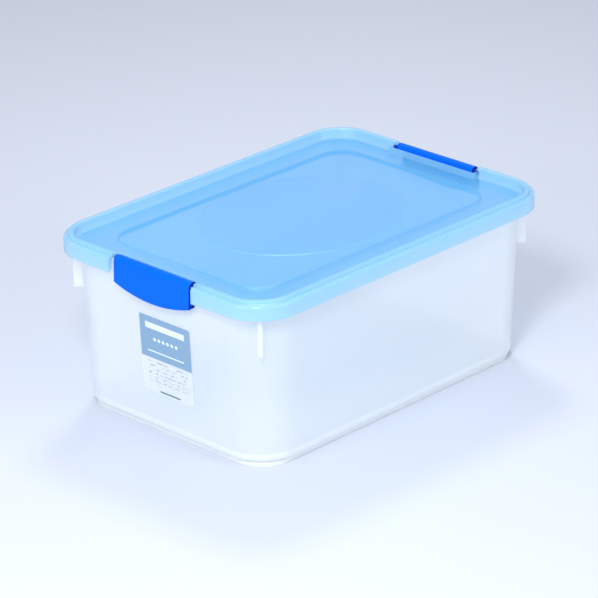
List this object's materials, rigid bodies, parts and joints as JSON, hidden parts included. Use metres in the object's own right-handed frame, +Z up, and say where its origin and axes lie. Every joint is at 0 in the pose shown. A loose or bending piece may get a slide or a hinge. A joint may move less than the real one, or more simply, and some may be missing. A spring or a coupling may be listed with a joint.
{
  "type": "latching storage box",
  "caption": "Clear plastic storage box with rounded corners, a tinted lift-off lid and a snap latch across each short end.",
  "frame": {"origin": "middle of the foot ring, on the floor", "axes": "+X along the box from the front latch to the rear latch, +Y across it, +Z up"},
  "size_m": [0.425, 0.3, 0.184],
  "materials": {
    "clear_plastic": "clear, slightly frosted",
    "tinted_lid": "translucent light blue",
    "blue_latch": "solid blue, satin",
    "sticker": "printed film"
  },
  "bodies": {
    "tub": {"tub": "clear_plastic", "label": "sticker"},
    "lid": {"lid": "tinted_lid"},
    "latch_front": {"latch_front": "blue_latch"},
    "latch_rear": {"latch_rear": "blue_latch"}
  },
  "joints": [
    {"name": "lid_lift", "type": "slide", "parent": "tub", "child": "lid", "axis": [0, 0, 1], "range_m": [0, 0.16]},
    {"name": "front_latch_hinge", "type": "hinge", "parent": "lid", "child": "latch_front", "pos_m": [-0.2017, 0, 0.1786], "axis": [0, 1, 0], "range_deg": [0, 105]},
    {"name": "rear_latch_hinge", "type": "hinge", "parent": "lid", "child": "latch_rear", "pos_m": [0.2017, 0, 0.1786], "axis": [0, -1, 0], "range_deg": [0, 105]}
  ]
}
